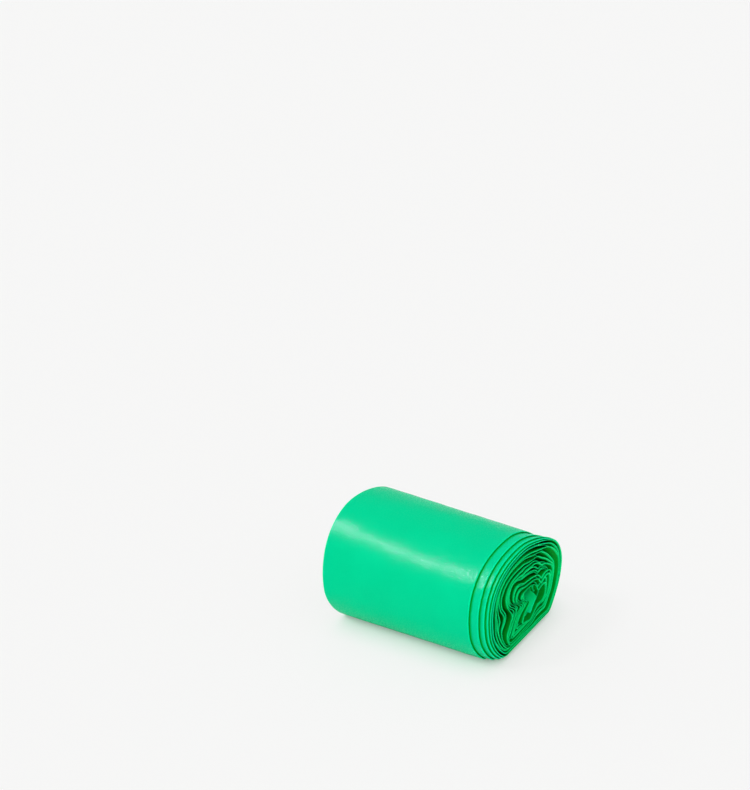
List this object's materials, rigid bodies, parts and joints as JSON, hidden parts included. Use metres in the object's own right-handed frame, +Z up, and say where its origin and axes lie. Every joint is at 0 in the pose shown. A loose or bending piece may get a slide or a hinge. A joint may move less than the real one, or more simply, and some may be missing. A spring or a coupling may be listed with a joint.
{
  "type": "bin bag roll",
  "caption": "Coreless roll of thin plastic bin bags lying on its flattened side, its end turns slipped out in steps round a creased, caved-in middle.",
  "frame": {"origin": "middle of the roll's bounding box in X and Y, on the surface that the flat underside lies on", "axes": "+X along the roll's axis toward the end where the turns stand out in steps, +Y across the roll, +Z up"},
  "size_m": [0.1336, 0.1162, 0.0871],
  "materials": {
    "bag_film": "satin blown film"
  },
  "bodies": {
    "root": {"bag_roll": "bag_film"}
  },
  "joints": []
}
